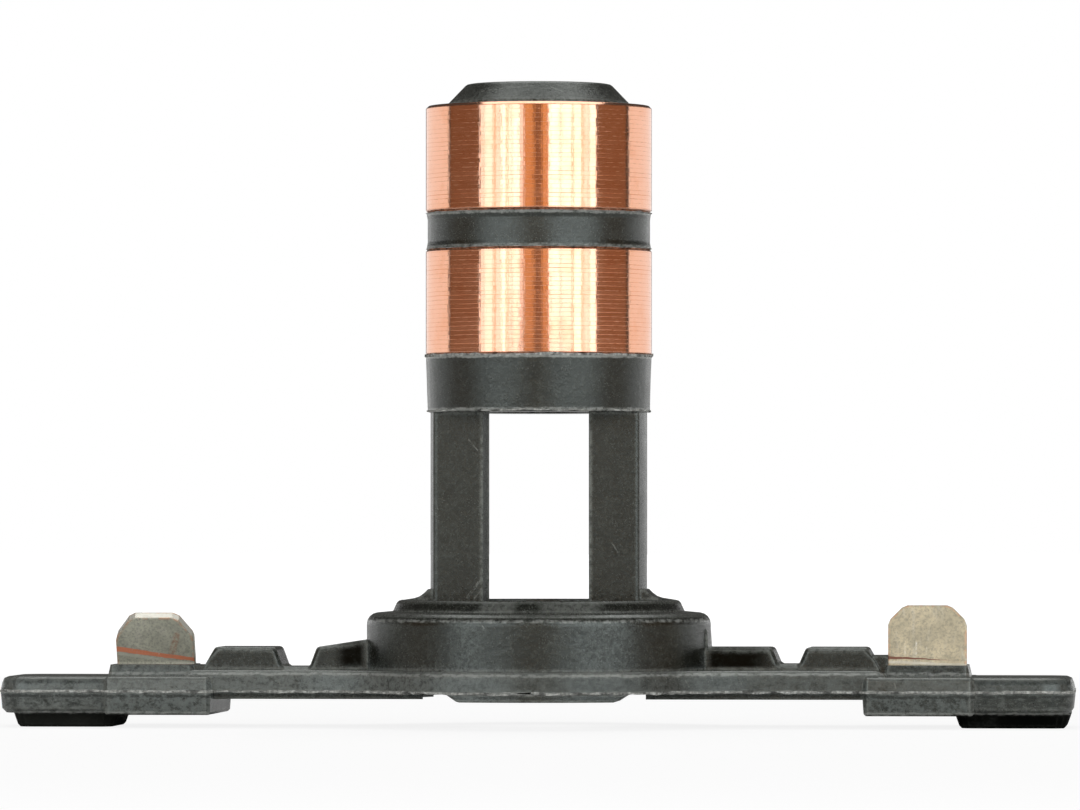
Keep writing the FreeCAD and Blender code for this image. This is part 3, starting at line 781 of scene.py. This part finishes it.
def studio_world():
    """White to the camera, with a faint warm light of its own."""
    world = bpy.data.worlds.new("studio")
    world.use_nodes = True
    nodes = world.node_tree.nodes
    links = world.node_tree.links
    nodes.clear()
    chosen = nodes.new("ShaderNodeMixShader")
    path = nodes.new("ShaderNodeLightPath")
    links.new(path.outputs["Is Camera Ray"], chosen.inputs[0])
    for slot, strength, colour in ((1, WORLD_LIGHT, WORLD_COLOUR), (2, 1.0, (1.0, 1.0, 1.0, 1.0))):
        background = nodes.new("ShaderNodeBackground")
        background.inputs["Strength"].default_value = strength
        background.inputs["Color"].default_value = colour
        links.new(background.outputs[0], chosen.inputs[slot])
    links.new(chosen.outputs[0], nodes.new("ShaderNodeOutputWorld").inputs["Surface"])
    return world


def photo_camera():
    """Camera at the photo's angle, with the photo's scale on the bore's axis."""
    target = Vector((TARGET_RIGHT * math.cos(CAMERA_YAW), TARGET_RIGHT * math.sin(CAMERA_YAW), TARGET_HEIGHT))
    data = bpy.data.cameras.new("camera")
    data.sensor_width = SENSOR_MM
    data.lens = SENSOR_MM * (CAMERA_DISTANCE / MM) / (FRAME_PIXELS / PIXELS_PER_MM)
    data.clip_start = 0.01
    data.clip_end = 20.0
    camera = bpy.data.objects.new("camera", data)
    camera.location = (
        target.x + CAMERA_DISTANCE * math.sin(CAMERA_YAW),
        target.y - CAMERA_DISTANCE * math.cos(CAMERA_YAW),
        CAMERA_HEIGHT,
    )
    camera.rotation_euler = (target - camera.location).to_track_quat("-Z", "Y").to_euler()
    bpy.context.scene.collection.objects.link(camera)
    return camera


def area_light(name, width, height, radiance):
    light = bpy.data.lights.new(name, "AREA")
    light.shape = "RECTANGLE"
    light.size = width
    light.size_y = height
    light.energy = radiance * math.pi * width * height
    lamp = bpy.data.objects.new(name, light)
    bpy.context.scene.collection.objects.link(lamp)
    return lamp


def panel(name, start, end, bottom, top, radiance, colour):
    """Upright soft panel between two angles to the right of the camera, as seen from the object."""
    middle = math.radians((start + end) / 2) + CAMERA_YAW
    width = 2 * PANEL_DISTANCE * math.tan(math.radians(abs(end - start) / 2))
    height = (bottom + top) / 2
    place = Vector((PANEL_DISTANCE * math.sin(middle), -PANEL_DISTANCE * math.cos(middle), height))
    lamp = area_light(name, width, top - bottom, radiance)
    lamp.data.color = colour
    lamp.location = place
    lamp.rotation_euler = (Vector((0, 0, place.z)) - place).to_track_quat("-Z", "Y").to_euler()


# Materials on the frame
moulding = Moulding("black_moulding").finished()
flash = flash_material()
copper = copper_material()
left_lead = lead_material(
    "tinned_copper_left",
    scratch=(-29.1, 5.26, -0.135, 0.18, 0.010),
    stain_share=0.40,
    tint=(0.95, 0.94, 0.77),
    least_rough=0.40,
    bare=(0.95, 0.34, 0.19),
    metallic=0.50,
    scrapes_and_highlights=(((-25.30, 4.95), (-24.90, 6.20), 0.30, 0.60, (0.62, 0.34, 0.20)),),
)
right_lead = lead_material(
    "tinned_copper_right",
    scratch=(24.0, 4.76, -0.04, 0.10, 0.022),
    stain_share=0.36,
    tint=(0.88, 0.80, 0.58),
    least_rough=0.30,
    bare=(0.36, 0.16, 0.10),
    metallic=0.85,
    scrapes_and_highlights=(
        # These three near-white marks are painted glints
        ((25.15, 5.00), (25.17, 5.50), 0.08, 0.9, (1.0, 0.95, 0.80)),
        ((25.90, 5.00), (25.92, 5.85), 0.08, 0.9, (1.0, 0.97, 0.86)),
        ((26.60, 5.00), (26.62, 5.40), 0.07, 0.8, (1.0, 0.95, 0.82)),
    ),
)
finishes = {
    "moulded_body": moulding,
    "upper_slip_ring": copper,
    "lower_slip_ring": copper,
    "upper_ring_lead": left_lead,
    "lower_ring_lead": right_lead,
}
for node, material in finishes.items():
    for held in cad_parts[node].material_slots:
        held.material = material

# Flash along the parting line and on the round rims
for loop in section_loops("moulded_body", PARTING_Z + 0.01):
    if np.abs(loop[:, 0]).max() > ARMS_FROM:
        torn_flash("parting_flash", loop, flash, *PARTING_FLASH)
for name, radius, level, *shape in RIM_FLASH:
    torn_flash(name, round_loop(radius, level), flash, *shape)

# Pale floor, and pale flats that stand behind the object at both sides
floor_corners = [(x * FLOOR_HALF, y * FLOOR_HALF, FLOOR_Z) for x, y in ((-1, -1), (1, -1), (1, 1), (-1, 1))]
floor_finish = stage_material("pale_floor", FLOOR_COLOUR, seen_near=0.74, mirrored_near=0.0, own_light=1.16)
stage_mesh("floor", floor_corners, [(0, 1, 2, 3)], floor_finish)
flat_finish = stage_material("pale_flat", FLAT_COLOUR, seen_near=1.0, mirrored_near=1.0, own_light=1.0)
for name, start, end in FLATS:
    flat(name, start, end, flat_finish)

# World, camera and lamps
bpy.context.scene.world = studio_world()
bpy.context.scene.camera = photo_camera()
for row in PANELS:
    panel(*row)
area_light("overhead", OVERHEAD_SIZE, OVERHEAD_SIZE, OVERHEAD_RADIANCE).location = OVERHEAD_PLACE

bpy.context.scene.view_settings.view_transform = "Standard"
